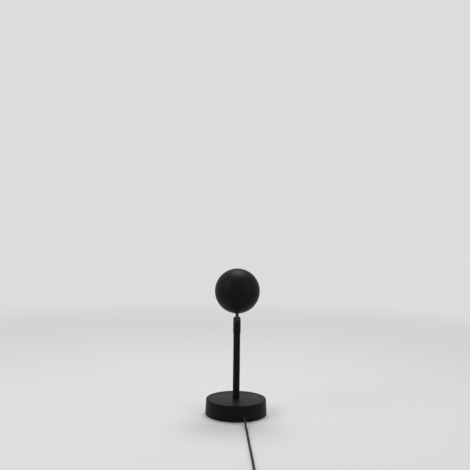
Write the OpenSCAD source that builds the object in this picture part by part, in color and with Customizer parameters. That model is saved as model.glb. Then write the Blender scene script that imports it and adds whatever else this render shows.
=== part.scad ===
// Sunset projection lamp: a ball head on a slim pole over a weighted disc base,
// fed by a USB lead with a rocker switch in it.
// Millimetres, +Z up. The origin is the centre of the base, on the table.
// The lens looks along +Y, and the lead leaves the base towards -Y.

/* [Base] */
// Diameter of the base at the table
base_d = 90; // [84:1:94]
// How much smaller the radius is at the top than at the table
base_draft = 1; // [0.5:0.5:2]
// Height of the base
base_h = 23; // [22:1:28]
// Rounding of the top rim
rim_round = 1.2; // [0.6:0.2:2]
// Sheet thickness of the base cover
cover_t = 1.2; // [1:0.1:1.6]
// Thickness of the soft pad that the base stands on
pad_t = 2; // [1.5:0.1:2.2]
// Thickness of the iron weight inside
weight_t = 10; // [8:0.5:10]

/* [Pole] */
// Diameter of the pole
pole_d = 10; // [10:0.5:12]
// Wall of the pole's tube
pole_wall = 1; // [0.8:0.1:1]
// Height of the ball's centre over the table
ball_z = 180.5; // [150:0.5:260]

/* [Hinge] */
// How much thicker the fork is than the pole
fork_step = 1; // [0.6:0.2:2]
// Length of the fork below its tips
fork_l = 24; // [20:1:34]
// Gap that shows between the fork's tips and the ball
neck_gap = 5.1; // [4.5:0.1:8]
// Thickness of the tongue between the fork's cheeks
tongue_t = 4.8; // [4.4:0.1:5.2]
// Width of the tongue
tongue_w = 9; // [8.8:0.1:9.6]
// Diameter of the pivot screw
pivot_d = 3; // [2.6:0.1:3]

/* [Head] */
// Diameter of the ball
ball_d = 66; // [64:1:74]
// Wall of the ball
ball_wall = 1.6; // [1.4:0.1:2.2]
// Diameter of the front lens
lens_d = 42; // [38:1:44]
// Radius of the front lens's curved face
lens_curve = 40; // [34:1:60]
// Number of cooling fins, an odd number
fin_count = 7; // [5:2:9]

/* [Lead] */
// Diameter of the lead
cord_d = 3; // [2.6:0.1:3]
// Angle between the cord hole and the -Y side of the base
exit_angle = 13; // [8:1:16]
// Height of the cord hole's axis
exit_z = 7.5; // [7.5:0.1:8.5]
// Space from one turn of the coil to the next, and from layer to layer
coil_pitch = 3.45; // [3.42:0.01:3.5]

/* [Switch] */
// Length of the switch's case
switch_l = 58; // [56:1:64]
// Width of the switch's case
switch_w = 17; // [16:0.5:20]
// Height of the switch's case
switch_h = 13; // [13:0.5:15]
// How far the rocker leans each way
rocker_tilt = 8; // [5:1:8]

/* [Plug] */
// Length of the plug's moulded grip
grip_l = 25; // [22:1:30]
// Width of the plug's moulded grip
grip_w = 16; // [14:0.5:17]
// Height of the plug's moulded grip
grip_h = 8; // [7:0.5:9]

/* [Hidden] */
$fn = 96;

// Finishes
satin_black = [0.05, 0.05, 0.055];
soft_black = [0.09, 0.09, 0.09];
gunmetal = [0.25, 0.25, 0.27];
steel = [0.62, 0.62, 0.64];
iron = [0.3, 0.28, 0.27];
brass = [0.8, 0.62, 0.28];
clear_glass = [0.8, 0.87, 0.9, 0.5];
amber_glass = [0.95, 0.42, 0.08, 0.6];

// Clearances
run_gap = 0.05;    // radial, between a pin and the hole it turns in
seat_gap = 0.15;   // between a plain screw or stud and its hole
slip = 0.02;       // between faces that lie on each other
over = 1;          // how far a cutter runs past what it cuts

// Base
base_r = base_d / 2;
top_r = base_r - base_draft;
rim_z = 0.8;                        // the cover's lower edge, over the table
top_t = cover_t + 0.4;
ceiling_z = base_h - top_t;         // underside of the cover's top
weight_r = top_r - cover_t - 3;
weight_z = ceiling_z - weight_t;
weight_chamfer = 0.8;
recess_r = 11;                      // hollow under the weight that holds the nut
recess_h = weight_t / 2;
plate_t = 1.2;
plate_z = pad_t + plate_t;          // top of the bottom plate
plate_r = base_r - cover_t - 0.3;
pad_r = base_r - cover_t - 0.8;
boss_r = 4;
boss_ring_r = 30;
boss_angles = [90, 210, 330];
m3_r = 1.5;
csk_r = 2.7;                        // countersunk head of the plate's screws
plate_screw_l = 8;

// The cover's outer radius at a height
function side_r(z) = base_r - base_draft * (z - rim_z) / (base_h - rim_round - rim_z);

// Pole
pole_r = pole_d / 2;
nipple_r = pole_r - pole_wall - run_gap;
nipple_bore_r = 2.5;
nipple_hold = 12;                   // how deep the nipple and the fork sit in the tube
washer_t = 1.2;
washer_r = 8;
nut_h = 4.5;
nut_flats = 13;
washer_z = weight_z + recess_h - washer_t;
nut_z = washer_z - nut_h;
nipple_z = nut_z - 0.5;

// Hinge
ball_r = ball_d / 2;
fork_r = pole_r + fork_step / 2;
fork_top = ball_z - ball_r - neck_gap;
fork_z = fork_top - fork_l;
pivot_z = fork_top - 3.6;
pivot_r = pivot_d / 2;
friction_t = 0.3;                   // nylon washer on each side of the tongue
slot_w = tongue_t + 2 * friction_t + 4 * run_gap;
slot_floor = pivot_z - tongue_w / 2 - 0.2;
fork_round = 2.4;                   // rounding of the fork's tips
wire_hole_r = 1;
wire_y = pivot_r + run_gap + 0.3 + wire_hole_r;   // the wire passes beside the pivot
wire_slope = 0.0965;                // and leans back to the middle as it rises
pivot_head_r = 2.6;
pivot_head_h = 1.7;
pivot_socket = 2;                   // across the flats of the screw's hexagon socket

// Head, measured from the ball's centre along the beam
in_r = ball_r - ball_wall;
lens_r = lens_d / 2;
ring_bore_r = lens_r + 0.2;
skirt_r = ring_bore_r + 2.8;        // the ring's threaded skirt
mouth_r = skirt_r + 3;              // outside of the ball where it is cut open
mouth_w = sqrt(pow(ball_r, 2) - pow(mouth_r, 2));
ring_w = sqrt(pow(ball_r, 2) - pow(ring_bore_r + 2, 2));
ring_lip_t = 2;
lip_w = mouth_w - 5.5;              // where the ball's wall thickens towards its mouth
gasket_r = lens_r - 0.5;
gasket_section = 0.48;              // radius of the gasket's own round section
gasket_w = ring_w - ring_lip_t - gasket_section - slip;
lens_mid_w = gasket_w - sqrt(pow(lens_curve + gasket_section + slip, 2) - pow(gasket_r, 2));
lens_edge_t = 2.5;
lens_edge_w = lens_mid_w + sqrt(pow(lens_curve, 2) - pow(lens_r, 2));
lens_back_w = lens_edge_w - lens_edge_t;
filter_t = 1.1;
sink_w = -8;                        // front face of the heat sink
sink_t = 3.5;
sink_r = skirt_r - 0.2;             // it goes in through the ball's mouth
fin_t = 1.6;
fin_pitch = 2 * (sink_r - 4) / (fin_count - 1);
fin_w = -25;
post_r = 3;
post_ring_r = sink_r - 3.8;
post_angles = [-90, 30, 150];
m25_r = 1.25;
led_board_r = 10.8;
led_board_t = 1.6;
barrel_bore_r = 11;
chip_size = 5.5;
chip_t = 0.8;
chip_dome_r = 2.3;
board_screw_x = 8;

// Tongue's seat on the ball, measured from the ball's centre, +Z up
seat_r = 5.4;
seat_z = -sqrt(pow(ball_r, 2) - pow(seat_r, 2));
boss_face_z = -(in_r - 2.2);        // flat inside the ball that the nut bears on
ball_boss_r = 9;
stud_r = 4;
tongue_nut_h = 4;
tongue_nut_flats = 12;
stud_top_z = boss_face_z + tongue_nut_h + 0.8;

// Lead
cord_r = cord_d / 2;
hole_r = 3.1;
flange_r = 4;
flange_t = 1.3;
grommet_out = side_r(exit_z - flange_r) + flange_t + slip;
grommet_in = sqrt(pow(side_r(exit_z) - cover_t, 2) - pow(flange_r, 2)) - 0.1;
stub_in = 31;                       // where the sheath ends inside the base
core_r = 0.4;
core_gap = 0.45;                    // from the middle of the pair to each core
coil_turns = 10.5;
coil_layers = 4;
coil_out_r = 22.2;                  // middle of the outermost turn
coil_steps = 24;                    // rings per turn
tie_t = 0.8;
tie_w = 6;
coil_z = tie_t + cord_r;            // middle of the lowest turn, which lies on its tie
coil_top_z = coil_z + (coil_layers - 1) * coil_pitch;

// A point in the base, at a distance from the axis towards the cord hole
function exit_point(u, z) = [u * sin(exit_angle), -u * cos(exit_angle), z];

// Where the lead goes over the table: out of the grommet, down, and away to the switch
lead_points = [
    exit_point(grommet_out, exit_z), exit_point(grommet_out + 3, exit_z),
    [12.5, -56.5, 6.3], [12.9, -63, 4.3], [13.4, -70, 2.5], [14, -78, 1.6],
    [14.5, -87, 1.5], [14.9, -96, 1.5], [15.2, -105, 1.5], [15.6, -114, 1.5],
    [15.9, -123, 1.5], [16.3, -132, 1.5], [16.7, -141, 1.5], [17.1, -150, 1.5],
    [17.5, -159, 1.5], [17.9, -168, 1.5], [18.3, -177, 1.5], [18.7, -186, 1.5],
    [19.1, -195, 1.5], [19.5, -204, 1.5], [19.8, -213, 1.5], [20.1, -221, 1.5],
    [20.3, -228, 1.6], [20.5, -235, 2.4], [20.6, -242, 4.1], [20.6, -249, 5.8],
    [20.6, -255, 6.5], [20.6, -260, 6.5], [20.6, -263.5, 6.5]
];
cord_hold = 5.5;                    // how far the lead reaches into the switch at each end
lead_end = lead_points[len(lead_points) - 1];
switch_mid = [lead_end.x, lead_end.y + cord_hold - switch_l / 2, 0];
cord_z = lead_end.z;                // the lead's height through the switch

// From the switch down to the coil
run_start = lead_end - [0, switch_l - 2 * cord_hold, 0];
run_drop = cord_z - coil_z;
run_points = [
    run_start, run_start + [0, -6, 0], run_start + [0, -10, -0.05 * run_drop],
    run_start + [0, -16, -0.33 * run_drop], run_start + [0, -23, -0.76 * run_drop],
    run_start + [0, -30, -0.98 * run_drop], run_start + [0, -34, -run_drop],
    run_start + [0, -37.5, -run_drop]
];
coil_mid = run_points[len(run_points) - 1] - [coil_out_r, cord_d, coil_z];

// From the top of the coil down to the plug
tail_start = [coil_mid.x - coil_out_r, coil_mid.y + cord_d, coil_top_z];
plug_z = grip_h / 2;
tail_end = [tail_start.x, tail_start.y + 43, plug_z];
tail_drop = coil_top_z - plug_z;
tail_points = [
    tail_start, tail_start + [0, 3, 0], tail_start + [0, 8, -0.05 * tail_drop],
    tail_start + [0, 14, -0.23 * tail_drop], tail_start + [0, 20, -0.49 * tail_drop],
    tail_start + [0, 26, -0.75 * tail_drop], tail_start + [0, 32, -0.94 * tail_drop],
    tail_end - [0, 6, 0], tail_end - [0, 3, 0], tail_end
];

// The lead's two cores, from the end of its sheath up the pole to the hinge
pair_side = [cos(exit_angle), sin(exit_angle), 0];
pole_lead_points = [
    exit_point(stub_in - slip, exit_z), exit_point(stub_in - 3, exit_z),
    exit_point(20, exit_z - 0.3), exit_point(9, exit_z - 0.6),
    exit_point(5, exit_z - 0.2), exit_point(2.6, exit_z + 0.9), exit_point(1, nipple_z - 0.4),
    [0, 0, nipple_z + 3], [0, 0, fork_z + 2], [0, 0.2, slot_floor - 12],
    [0, wire_y * 0.5, slot_floor - 8], [0, wire_y, slot_floor - 4], [0, wire_y, slot_floor]
];

// And from the tongue to the light source
function wire_at(z) = wire_y - wire_slope * z;
head_lead_points = [
    [0, wire_at(-2.9), pivot_z - 2.9],
    [0, wire_at(stud_top_z + ball_z - pivot_z), ball_z + stud_top_z],
    [0, 0.6, ball_z + stud_top_z + 1.8], [0, -1.6, ball_z + stud_top_z + 4.4],
    [0, -4.4, ball_z + stud_top_z + 7.6], [0, -5.7, ball_z - 14], [0, -5.9, ball_z - 12],
    [0, -5.9, ball_z - 8.6]
];

// ---- Shapes used more than once ----

function unit(v) = v / norm(v);
function last(list) = list[len(list) - 1];
function arc(centre, r, from, to, steps) =
    [for (i = [0:steps]) let (a = from + (to - from) * i / steps) centre + r * [cos(a), sin(a)]];
function run_length(p) = len(p) < 2 ? 0 : sum([for (i = [1:len(p) - 1]) norm(p[i] - p[i - 1])]);
function sum(list, i = 0) = i < len(list) ? list[i] + sum(list, i + 1) : 0;
function shifted(points, by) = [for (p = points) p + by];

// A solid through rings that have the same number of points, closed flat at both ends
module loft(rings) {
    sides = len(rings[0]);
    end = (len(rings) - 1) * sides;
    walls = [
        for (i = [0:len(rings) - 2])
            for (k = [0:sides - 1])
                let (a = i * sides + k, b = i * sides + (k + 1) % sides)
                for (face = [[a, b, b + sides], [a, b + sides, a + sides]])
                    face
    ];
    first_cap = [for (k = [1:sides - 2]) [0, k + 1, k]];
    last_cap = [for (k = [1:sides - 2]) [end, end + k, end + k + 1]];
    polyhedron([for (ring = rings) each ring], concat(walls, first_cap, last_cap));
}

// A tube along a path; ref is any direction that the path never takes
module tube(path, r, sides, ref = [0, 0, 1]) {
    end = len(path) - 1;
    loft([
        for (i = [0:end])
            let (t = unit(path[min(i + 1, end)] - path[max(i - 1, 0)]))
            let (side = unit(cross(t, ref)), up = cross(side, t))
            [for (k = [0:sides - 1])
                path[i] + r * (cos(360 * k / sides) * side + sin(360 * k / sides) * up)]
    ]);
}

module ring(r_out, r_in, h) {
    difference() {
        cylinder(r = r_out, h = h);
        translate([0, 0, -over]) cylinder(r = r_in, h = h + 2 * over);
    }
}

module hex_nut(flats, bore_r, h) {
    difference() {
        cylinder(r = flats / 2 / cos(30), h = h, $fn = 6);
        translate([0, 0, -over]) cylinder(r = bore_r, h = h + 2 * over);
    }
}

// A pan-head screw with a cross recess, its head's seat at z = 0 and its shank downwards
module pan_screw(r, shank_l, head_r, head_h) {
    slot = head_r * 0.3;
    difference() {
        union() {
            translate([0, 0, -shank_l]) cylinder(r = r, h = shank_l + head_h / 2);
            cylinder(r1 = head_r, r2 = head_r * 0.8, h = head_h);
        }
        for (turn = [0, 90])
            rotate([0, 0, turn]) translate([-head_r * 0.6, -slot / 2, head_h * 0.5])
                cube([head_r * 1.2, slot, head_h]);
    }
}

module rounded_rectangle(w, l, r) {
    square([w - 2 * r, l], center = true);
    square([w, l - 2 * r], center = true);
    for (x = [-1, 1], y = [-1, 1])
        translate([x * (w / 2 - r), y * (l / 2 - r)]) circle(r);
}

// Places whatever stands on the cord hole's axis, +Z pointing out of the base
module at_exit() {
    rotate([0, 0, exit_angle - 90]) translate([0, 0, exit_z]) rotate([0, 90, 0]) children();
}

// Places whatever stands on the beam's axis, +Z pointing out of the lens
module on_beam() {
    translate([0, 0, ball_z]) rotate([-90, 0, 0]) children();
}

module at_switch() {
    translate(switch_mid) children();
}

// ---- Base ----

module base_cover() {
    stud_hole_r = nipple_r + seat_gap;
    profile = concat(
        [[stud_hole_r, base_h]],
        arc([top_r - rim_round, base_h - rim_round], rim_round, 90, 0, 8),
        [[base_r, rim_z], [base_r - cover_t, rim_z]],
        [[top_r - cover_t, ceiling_z], [stud_hole_r, ceiling_z]]
    );
    color(satin_black) difference() {
        rotate_extrude() polygon(profile);
        at_exit() translate([0, 0, base_r / 2]) cylinder(r = hole_r, h = base_r);
    }
}

module base_weight() {
    c = weight_chamfer;
    profile = [
        [0, weight_z], [weight_r - c, weight_z], [weight_r, weight_z + c],
        [weight_r, ceiling_z - c], [weight_r - c, ceiling_z], [0, ceiling_z]
    ];
    color(iron) difference() {
        union() {
            rotate_extrude() polygon(profile);
            for (a = boss_angles)
                rotate([0, 0, a]) translate([boss_ring_r, 0, plate_z])
                    cylinder(r = boss_r, h = weight_z - plate_z + over);
        }
        translate([0, 0, weight_z - over]) cylinder(r = recess_r, h = recess_h + over);
        translate([0, 0, weight_z]) cylinder(r = nipple_r + seat_gap, h = weight_t + over);
        for (a = boss_angles)
            rotate([0, 0, a]) translate([boss_ring_r, 0, plate_z - over])
                cylinder(r = m3_r + run_gap, h = plate_screw_l + over);
    }
}

module base_plate() {
    color(steel) difference() {
        translate([0, 0, pad_t]) cylinder(r = plate_r, h = plate_t);
        for (a = boss_angles)
            rotate([0, 0, a]) translate([boss_ring_r, 0, pad_t]) {
                translate([0, 0, -over]) cylinder(r = m3_r + seat_gap, h = plate_t + 2 * over);
                translate([0, 0, -slip])
                    cylinder(r1 = csk_r + seat_gap, r2 = m3_r + seat_gap, h = plate_t);
            }
    }
}

module base_pad() {
    color(soft_black) cylinder(r = pad_r, h = pad_t);
}

module plate_screws() {
    color(steel) for (a = boss_angles)
        rotate([0, 0, a]) translate([boss_ring_r, 0, pad_t]) {
            cylinder(r1 = csk_r, r2 = m3_r, h = plate_t);
            cylinder(r = m3_r, h = plate_screw_l);
        }
}

// ---- Pole ----

module pole_nipple() {
    color(steel) translate([0, 0, nipple_z])
        ring(nipple_r, nipple_bore_r, base_h + nipple_hold - nipple_z);
}

module nipple_washer() {
    color(steel) translate([0, 0, washer_z]) ring(washer_r, nipple_r + seat_gap, washer_t);
}

module nipple_nut() {
    color(steel) translate([0, 0, nut_z]) hex_nut(nut_flats, nipple_r + run_gap, nut_h);
}

module pole_tube() {
    color(satin_black) translate([0, 0, base_h]) ring(pole_r, pole_r - pole_wall, fork_z - base_h);
}

module pole_lead() {
    for (side = [-1, 1])
        color(side > 0 ? [0.6, 0.06, 0.05] : soft_black)
            tube(shifted(pole_lead_points, side * core_gap * pair_side), core_r, 6, pair_side);
}

// ---- Hinge ----

module fork() {
    chamfer = 0.3;
    profile = concat(
        [[0, fork_z - nipple_hold], [nipple_r, fork_z - nipple_hold], [nipple_r, fork_z]],
        [[fork_r - chamfer, fork_z], [fork_r, fork_z + chamfer]],
        arc([fork_r - fork_round, fork_top - fork_round], fork_round, 0, 90, 8),
        [[0, fork_top]]
    );
    color(satin_black) difference() {
        rotate_extrude() polygon(profile);
        // the wire's way, which widens below the slot
        translate([0, 0, fork_z - nipple_hold - over])
            cylinder(r = nipple_bore_r, h = fork_l + nipple_hold - 10);
        translate([0, 0, slot_floor - 10.5]) cylinder(r = 3.6, h = 8);
        translate([0, wire_y, slot_floor - 4]) cylinder(r = wire_hole_r + 0.1, h = 4 + over);
        translate([-slot_w / 2, -fork_r - over, slot_floor])
            cube([slot_w, 2 * (fork_r + over), fork_l]);
        // the pivot screw's hole, threaded on the far side, and the seat of its head
        translate([0, 0, pivot_z]) rotate([0, 90, 0]) {
            translate([0, 0, -fork_r - over]) cylinder(r = pivot_r + run_gap, h = 2 * (fork_r + over));
            translate([0, 0, fork_r - pivot_head_h - 0.3])
                cylinder(r = pivot_head_r + seat_gap, h = fork_r);
        }
    }
}

module pivot_screw() {
    head_seat = fork_r - pivot_head_h - 0.3;
    color(steel) translate([0, 0, pivot_z]) rotate([0, 90, 0]) difference() {
        union() {
            translate([0, 0, -fork_r + 0.5]) cylinder(r = pivot_r, h = fork_r - 0.5 + head_seat + 0.2);
            translate([0, 0, head_seat]) cylinder(r = pivot_head_r, h = pivot_head_h);
        }
        translate([0, 0, head_seat + pivot_head_h - 1])
            cylinder(r = pivot_socket / 2 / cos(30), h = 1 + over, $fn = 6);
    }
}

module friction_washers() {
    color([0.85, 0.84, 0.78]) translate([0, 0, pivot_z]) rotate([0, 90, 0])
        for (x = [-slot_w / 2 + run_gap, slot_w / 2 - friction_t - run_gap])
            translate([0, 0, x]) ring(tongue_w / 2 - 0.4, pivot_r + run_gap, friction_t);
}

module head_tongue() {
    shoulder = ball_z + seat_z - pivot_z;
    color(gunmetal) translate([0, 0, pivot_z]) difference() {
        union() {
            rotate([90, 0, 90]) linear_extrude(tongue_t, center = true) {
                circle(r = tongue_w / 2);
                translate([-tongue_w / 2, 0]) square([tongue_w, shoulder]);
            }
            translate([0, 0, shoulder - 0.5])
                cylinder(r = stud_r, h = stud_top_z - seat_z + 0.5);
        }
        rotate([0, 90, 0]) cylinder(r = pivot_r + run_gap, h = tongue_t + 2 * over, center = true);
        translate([0, wire_y, 0]) rotate([atan(wire_slope), 0, 0])
            cylinder(r = wire_hole_r, h = 80, center = true);
    }
}

module tongue_nut() {
    color(steel) translate([0, 0, ball_z + boss_face_z])
        hex_nut(tongue_nut_flats, stud_r + run_gap, tongue_nut_h);
}

// ---- Head ----

module head_shell() {
    hole_depth = 7;
    color(satin_black) difference() {
        on_beam() difference() {
            sphere(ball_r);
            difference() {
                sphere(in_r);
                for (a = post_angles)
                    rotate([0, 0, a]) translate([post_ring_r, 0, -ball_r])
                        cylinder(r = post_r, h = ball_r + sink_w - sink_t);
                translate([0, 0, lip_w]) ring(ball_r, skirt_r + 0.1, ball_r);
                translate([0, -boss_face_z, 0]) rotate([-90, 0, 0]) cylinder(r = ball_boss_r, h = ball_r);
            }
            translate([0, 0, mouth_w]) cylinder(r = ball_r, h = ball_r);
            for (a = post_angles)
                rotate([0, 0, a]) translate([post_ring_r, 0, sink_w - sink_t - hole_depth])
                    cylinder(r = m25_r + run_gap, h = hole_depth + over);
        }
        translate([0, 0, ball_z - ball_r - over]) cylinder(r = stud_r + run_gap, h = 2 * ball_wall + 5);
        translate([0, 0, ball_z - ball_r - over]) cylinder(r = seat_r, h = ball_r + seat_z + over);
    }
}

module lens_ring() {
    front_chamfer = 1.2;
    opening_r = lens_r - 1.2;
    groove = 0.5;
    color(satin_black) on_beam() difference() {
        union() {
            intersection() {
                sphere(ball_r);
                translate([0, 0, mouth_w]) cylinder(r = ball_r, h = ring_w - mouth_w);
            }
            translate([0, 0, lip_w + 1]) cylinder(r = skirt_r, h = mouth_w - lip_w);
        }
        translate([0, 0, lip_w - over]) cylinder(r = ring_bore_r, h = ring_w - ring_lip_t - lip_w + over);
        translate([0, 0, mouth_w]) cylinder(r = opening_r, h = ball_r);
        translate([0, 0, ring_w - front_chamfer])
            cylinder(r1 = opening_r, r2 = opening_r + front_chamfer + over, h = front_chamfer + over);
        translate([0, 0, mouth_w - slip]) ring(ball_r, mouth_r - groove, groove);
    }
}

module front_lens() {
    color(amber_glass) on_beam() intersection() {
        translate([0, 0, lens_back_w]) cylinder(r = lens_r, h = ball_r);
        translate([0, 0, lens_mid_w]) sphere(lens_curve);
    }
}

module lens_gasket() {
    color(soft_black) on_beam() translate([0, 0, gasket_w])
        rotate_extrude() translate([gasket_r, 0]) circle(gasket_section, $fn = 24);
}

module filter_disc() {
    color([1, 0.45, 0.1, 0.6]) on_beam() translate([0, 0, lens_back_w - filter_t - slip])
        cylinder(r = lens_r - 0.9, h = filter_t);
}

module optic_barrel() {
    out_r = lens_r + 0.1;
    in_front_r = lens_r - 2;
    seat_r2 = lens_r - 0.8;
    seat_w = lens_back_w - filter_t - 2 * slip;
    profile = [
        [barrel_bore_r, sink_w], [barrel_bore_r + 2, sink_w], [barrel_bore_r + 2, 3],
        [out_r, lens_back_w - 5.6], [out_r, lens_back_w], [seat_r2, lens_back_w],
        [seat_r2, seat_w], [in_front_r, seat_w], [in_front_r, lens_back_w - 5],
        [barrel_bore_r, 3.7], [barrel_bore_r, -1.5], [barrel_bore_r - 1.6, -1.5],
        [barrel_bore_r - 1.6, -3.3], [barrel_bore_r, -3.3]
    ];
    notch_w = 4.4;
    notch_h = 3.1;
    color(soft_black) on_beam() difference() {
        rotate_extrude() polygon(profile);
        translate([-notch_w / 2, 0, sink_w - over]) cube([notch_w, 2 * barrel_bore_r, notch_h + over]);
    }
}

module condenser_lens() {
    r = barrel_bore_r - 0.2;
    curve = 13;
    edge = 2;
    color(clear_glass) on_beam() intersection() {
        translate([0, 0, -1.5]) cylinder(r = r, h = 12);
        translate([0, 0, -1.5 + edge - sqrt(pow(curve, 2) - pow(r, 2))]) sphere(curve);
    }
}

module led_board() {
    color([0.9, 0.9, 0.88]) on_beam() difference() {
        translate([0, 0, sink_w]) cylinder(r = led_board_r, h = led_board_t);
        for (x = [-board_screw_x, board_screw_x])
            translate([x, 0, sink_w - over]) cylinder(r = 1 + seat_gap, h = led_board_t + 2 * over);
    }
}

module led_chip() {
    chip_w = sink_w + led_board_t;
    color([0.95, 0.85, 0.3]) on_beam() {
        translate([-chip_size / 2, -chip_size / 2, chip_w]) cube([chip_size, chip_size, chip_t]);
        translate([0, 0, chip_w + chip_t]) intersection() {
            sphere(chip_dome_r);
            cylinder(r = chip_dome_r + over, h = chip_dome_r);
        }
    }
}

module board_screws() {
    color(steel) on_beam() for (x = [-board_screw_x, board_screw_x])
        translate([x, 0, sink_w + led_board_t]) pan_screw(1, 4, 1.8, 1.3);
}

module heat_sink() {
    back_w = sink_w - sink_t;
    root_w = back_w + 0.5;
    fins_r = sink_r - 0.5;
    end_r = sqrt(pow(in_r - 1.6, 2) - pow(fin_w, 2));
    shoulder_w = -sqrt(pow(in_r - 1.6, 2) - pow(fins_r, 2));
    envelope = [[0, root_w], [fins_r, root_w], [fins_r, shoulder_w], [end_r, fin_w], [0, fin_w]];
    color([0.7, 0.7, 0.72]) on_beam() difference() {
        union() {
            translate([0, 0, back_w]) cylinder(r = sink_r, h = sink_t);
            difference() {
                intersection() {
                    for (i = [-(fin_count - 1) / 2:(fin_count - 1) / 2])
                        translate([i * fin_pitch - fin_t / 2, -sink_r, fin_w - over])
                            cube([fin_t, 2 * sink_r, root_w - fin_w + 2 * over]);
                    rotate_extrude() polygon(envelope);
                }
                for (a = post_angles)
                    rotate([0, 0, a]) translate([post_ring_r, 0, fin_w - over])
                        cylinder(r = post_r + 1.2, h = root_w - fin_w + 2 * over);
            }
        }
        for (a = post_angles)
            rotate([0, 0, a]) translate([post_ring_r, 0, back_w - over])
                cylinder(r = m25_r + seat_gap, h = sink_t + 2 * over);
        for (x = [-board_screw_x, board_screw_x])
            translate([x, 0, sink_w - 3]) cylinder(r = 1 + run_gap, h = 3 + over);
    }
}

module heat_sink_screws() {
    color(steel) on_beam() for (a = post_angles)
        rotate([0, 0, a]) translate([post_ring_r, 0, sink_w]) pan_screw(m25_r, 9, 2.3, 1.7);
}

module head_lead() {
    for (side = [-1, 1])
        color(side > 0 ? [0.6, 0.06, 0.05] : soft_black)
            tube(shifted(head_lead_points, [side * core_gap, 0, 0]), core_r, 6, [1, 0, 0]);
}

// ---- Lead ----

module cord_grommet() {
    nose = 0.5;
    neck_r = hole_r - run_gap;
    bore_r = cord_r + run_gap;
    face = grommet_out - flange_t;
    profile = [
        [bore_r, grommet_in - flange_t], [flange_r, grommet_in - flange_t], [flange_r, grommet_in],
        [neck_r, grommet_in], [neck_r, face], [flange_r, face], [flange_r, grommet_out - nose],
        [flange_r - nose, grommet_out], [bore_r, grommet_out]
    ];
    color(soft_black) at_exit() rotate_extrude() polygon(profile);
}

module cord_stub() {
    color(soft_black) at_exit() translate([0, 0, stub_in]) cylinder(r = cord_r, h = grommet_out - stub_in);
}

module cord_stop() {
    color([0.8, 0.8, 0.78]) at_exit() translate([0, 0, stub_in + 5]) ring(cord_r + 1.6, cord_r + slip, 3.5);
}

module cord_lead() {
    color(soft_black) tube(lead_points, cord_r, 8);
}

module cord_run() {
    color(soft_black) tube(run_points, cord_r, 8);
}

module cord_tail() {
    color(soft_black) tube(tail_points, cord_r, 8);
}

// The coil spirals in and out again at a steady rate, and climbs a layer in the half turn
// where the spiral reverses.
layer_turns = coil_turns / coil_layers;
coil_in_r = coil_out_r - layer_turns * coil_pitch;
function climb(x) = x <= 0 ? 0 : x >= 1 ? 1 : x * x * (3 - 2 * x);
function coil_r(t) =
    let (f = t / layer_turns, layer = floor(f), part = f - layer)
    layer % 2 == 0 ? coil_out_r - part * (coil_out_r - coil_in_r)
                   : coil_in_r + part * (coil_out_r - coil_in_r);
function coil_rise(t) = sum([for (k = [1:coil_layers - 1]) climb(2 * (t - k * layer_turns) + 0.5)]);
function coil_point(t) =
    coil_mid + [coil_r(t) * cos(-360 * t), coil_r(t) * sin(-360 * t), coil_z + coil_pitch * coil_rise(t)];
coil_points = concat(
    [last(run_points)],
    [for (i = [0:coil_turns * coil_steps]) coil_point(i / coil_steps)],
    [tail_start]
);

// The least gap between turns, from each ring's centre to the stretches half a turn away or more
function off_stretch(p, a, b) =
    let (t = max(0, min(1, (p - a) * (b - a) / ((b - a) * (b - a))))) norm(p - a - t * (b - a));
coil_gap = min([
    for (i = [0:len(coil_points) - 1])
        for (j = [i + coil_steps / 2:1:len(coil_points) - 2])
            off_stretch(coil_points[i], coil_points[j], coil_points[j + 1])
]) - cord_d;
echo(str("coil: least gap to itself ", coil_gap, " mm, length ", run_length(coil_points), " mm"));
echo(str("lead to the switch ", run_length(lead_points), " mm, switch to coil ",
    run_length(run_points), " mm, coil to plug ", run_length(tail_points), " mm"));

module cord_coil() {
    color(soft_black) tube(coil_points, cord_r, 6);
}

// A strap with round bends; its free end lies on top of it and comes down to it in a slope
module coil_tie() {
    room = 0.3;
    bend_r = 1.6;
    in_side = coil_in_r - cord_r - room;
    out_side = coil_out_r + cord_r + room;
    top = coil_top_z + cord_r + room;
    slope_l = 2.2;
    mid = [(in_side + out_side) / 2, (tie_t + top) / 2];
    inner = [out_side - in_side, top - tie_t];
    free_end = [
        [in_side + 2.4, top + tie_t / 2], [out_side - bend_r, top + tie_t / 2],
        [out_side - bend_r, top + tie_t], [out_side - bend_r - slope_l, top + 2 * tie_t],
        [in_side + 2.4, top + 2 * tie_t]
    ];
    color([0.16, 0.16, 0.16]) translate([coil_mid.x, coil_mid.y, 0]) rotate([90, 0, -90])
        linear_extrude(tie_w, center = true) {
            difference() {
                translate(mid)
                    rounded_rectangle(inner.x + 2 * tie_t, inner.y + 2 * tie_t, bend_r + tie_t);
                translate(mid) rounded_rectangle(inner.x, inner.y, bend_r);
            }
            polygon(free_end);
        }
}

// ---- Switch ----

switch_wall = 1.5;
switch_part = switch_h / 2;         // where the two halves of the case meet
axle_z = switch_part + 1.7;
axle_r = 1.25;
rocker_w = 8.3;
rocker_r = 7.6;                     // its ends run on a circle about its axle
post_in_x = rocker_w / 2 + 0.35;
post_t = 1.2;
pillar_at = [[4, 17], [-4, -17]];
pillar_r = 2.4;

switch_narrowing = 2.5;             // how much narrower each side is at the case's ends
switch_lowering = 3;                // and how much lower its top
switch_top_round = 3;
switch_foot_round = 2;
switch_end_round = 1.4;
collar_l = 4;                       // ribbed collar round the lead at each end of the case
collar_r = 3.3;

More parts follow.
